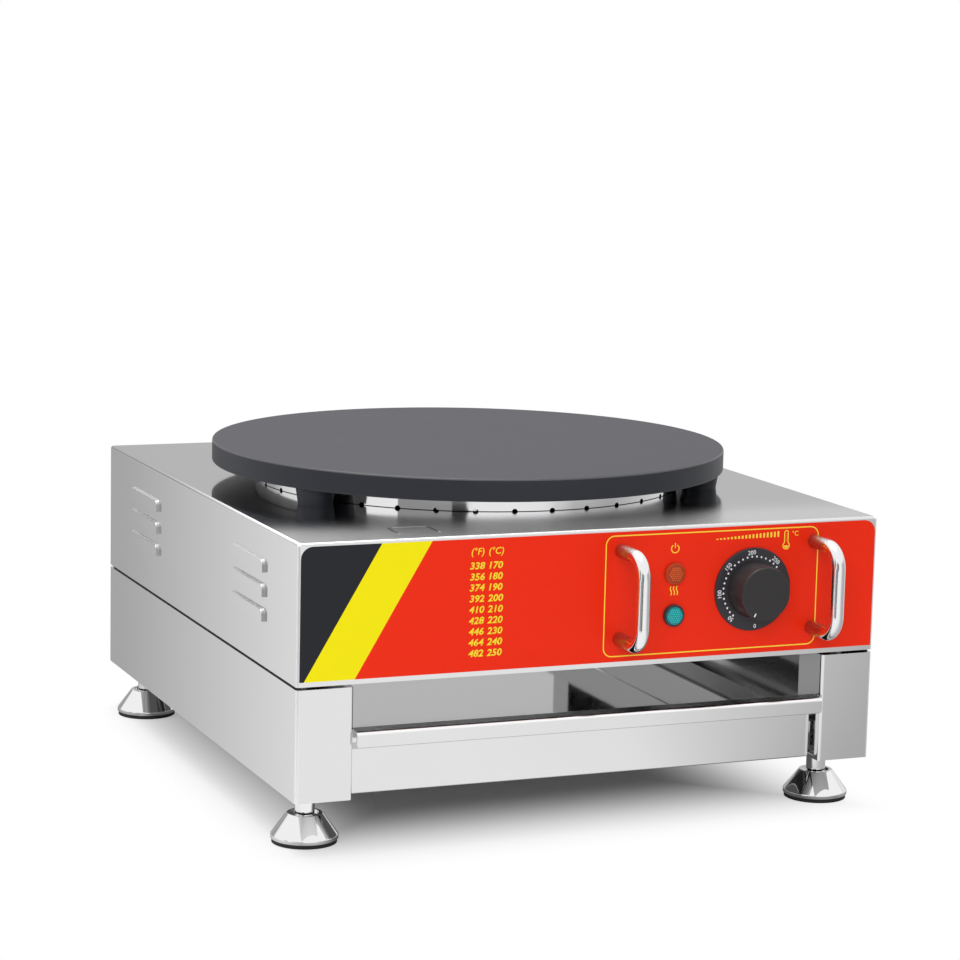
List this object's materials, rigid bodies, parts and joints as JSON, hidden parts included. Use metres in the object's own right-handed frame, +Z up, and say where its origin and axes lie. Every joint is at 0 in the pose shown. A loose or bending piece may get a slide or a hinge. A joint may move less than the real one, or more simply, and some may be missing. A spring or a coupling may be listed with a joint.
{
  "type": "electric crepe maker",
  "caption": "Countertop electric crepe maker: round cast iron plate over a louvred stainless housing, control panel with knob and lamps, drawer chassis on levelling feet.",
  "frame": {"origin": "middle of the footprint at worktop level, under the bounding box of the whole part", "axes": "+X to the user's right, +Y to the back, +Z up; the control panel faces -Y"},
  "size_m": [0.456, 0.5514, 0.2495],
  "materials": {
    "polished_steel": "polished stainless sheet, satin sides",
    "satin_steel": "satin stainless sheet",
    "cast_iron": "machined and seasoned, fine matt",
    "overlay_print": "printed polycarbonate film, red with yellow and black",
    "chrome": "bright plated",
    "zinc_steel": "zinc plated",
    "rubber": "matt black",
    "screw_steel": "bright pan heads",
    "element_sheath": "heat-tinted alloy sheath",
    "insulation": "mineral wool",
    "knob_plastic": "moulded phenolic",
    "amber_bezel": "moulded",
    "red_lens": "prismatic lens",
    "dark_bezel": "moulded",
    "green_lens": "prismatic lens",
    "bakelite": "moulded",
    "copper": "drawn copper",
    "gland_plastic": "nylon",
    "brass": "turned",
    "wire_sleeve": "glass-fibre sleeve"
  },
  "bodies": {
    "frame": {"housing_shell": "polished_steel", "heat_shield_ring": "polished_steel", "reflector_dish": "polished_steel", "chassis_left": "satin_steel", "chassis_right": "satin_steel", "rear_panel": "satin_steel", "base_plate": "satin_steel", "runner_left": "satin_steel", "runner_right": "satin_steel", "crepe_plate": "cast_iron", "panel_overlay": "overlay_print", "handle_left": "chrome", "handle_right": "chrome", "foot_nut_plates": "zinc_steel", "housing_bolts": "zinc_steel", "housing_nuts": "zinc_steel", "housing_spacers": "zinc_steel", "plate_studs": "zinc_steel", "plate_nuts": "zinc_steel", "clamp_bolt": "zinc_steel", "element_clamp": "zinc_steel", "lamp_clips": "zinc_steel", "bulb_clamp": "zinc_steel", "thermostat_screws": "zinc_steel", "base_screws": "screw_steel", "rear_panel_screws": "screw_steel", "runner_screws": "screw_steel", "handle_screws": "screw_steel", "heating_element_outer": "element_sheath", "heating_element_inner": "element_sheath", "insulation_disc": "insulation", "dial_plate": "knob_plastic", "power_lamp_body": "amber_bezel", "power_lamp_lens": "red_lens", "heat_lamp_body": "dark_bezel", "heat_lamp_lens": "green_lens", "thermostat_body": "bakelite", "terminal_block": "bakelite", "sensor_bulb": "copper", "capillary_tube": "copper", "cable_gland": "gland_plastic", "gland_locknut": "gland_plastic", "earth_stud": "brass", "wiring": "wire_sleeve"},
    "drawer": {"drawer_tray": "satin_steel", "drawer_front": "satin_steel"},
    "knob": {"knob_cap": "knob_plastic", "thermostat_shaft": "zinc_steel"},
    "foot_front_left": {"foot_pad_front_left": "rubber"},
    "stem_front_left": {"foot_stem_front_left": "zinc_steel", "foot_bell_front_left": "chrome"},
    "foot_front_right": {"foot_pad_front_right": "rubber"},
    "stem_front_right": {"foot_stem_front_right": "zinc_steel", "foot_bell_front_right": "chrome"},
    "foot_back_left": {"foot_pad_back_left": "rubber"},
    "stem_back_left": {"foot_stem_back_left": "zinc_steel", "foot_bell_back_left": "chrome"},
    "foot_back_right": {"foot_pad_back_right": "rubber"},
    "stem_back_right": {"foot_stem_back_right": "zinc_steel", "foot_bell_back_right": "chrome"}
  },
  "joints": [
    {"name": "drawer_slide", "type": "slide", "parent": "frame", "child": "drawer", "axis": [0, -1, 0], "range_m": [0, 0.35]},
    {"name": "knob_turn", "type": "hinge", "parent": "frame", "child": "knob", "pos_m": [0.1225, -0.2323, 0.171], "axis": [0, 1, 0], "range_deg": [0, 240]},
    {"name": "foot_front_left_raise", "type": "slide", "parent": "frame", "child": "foot_front_left", "axis": [0, 0, -1], "range_m": [-0.006, 0.009]},
    {"name": "foot_front_left_turn", "type": "hinge", "parent": "foot_front_left", "child": "stem_front_left", "pos_m": [-0.204, -0.1923, 0.038], "axis": [0, 0, 1], "range_deg": [-1440, 2160]},
    {"name": "foot_front_right_raise", "type": "slide", "parent": "frame", "child": "foot_front_right", "axis": [0, 0, -1], "range_m": [-0.006, 0.009]},
    {"name": "foot_front_right_turn", "type": "hinge", "parent": "foot_front_right", "child": "stem_front_right", "pos_m": [0.204, -0.1923, 0.038], "axis": [0, 0, 1], "range_deg": [-1440, 2160]},
    {"name": "foot_back_left_raise", "type": "slide", "parent": "frame", "child": "foot_back_left", "axis": [0, 0, -1], "range_m": [-0.006, 0.009]},
    {"name": "foot_back_left_turn", "type": "hinge", "parent": "foot_back_left", "child": "stem_back_left", "pos_m": [-0.204, 0.2117, 0.038], "axis": [0, 0, 1], "range_deg": [-1440, 2160]},
    {"name": "foot_back_right_raise", "type": "slide", "parent": "frame", "child": "foot_back_right", "axis": [0, 0, -1], "range_m": [-0.006, 0.009]},
    {"name": "foot_back_right_turn", "type": "hinge", "parent": "foot_back_right", "child": "stem_back_right", "pos_m": [0.204, 0.2117, 0.038], "axis": [0, 0, 1], "range_deg": [-1440, 2160]}
  ],
  "couplings": [
    {"joint": "foot_front_left_raise", "follows": "foot_front_left_turn", "m_per_rad": 0.00023873},
    {"joint": "foot_front_right_raise", "follows": "foot_front_right_turn", "m_per_rad": 0.00023873},
    {"joint": "foot_back_left_raise", "follows": "foot_back_left_turn", "m_per_rad": 0.00023873},
    {"joint": "foot_back_right_raise", "follows": "foot_back_right_turn", "m_per_rad": 0.00023873}
  ]
}
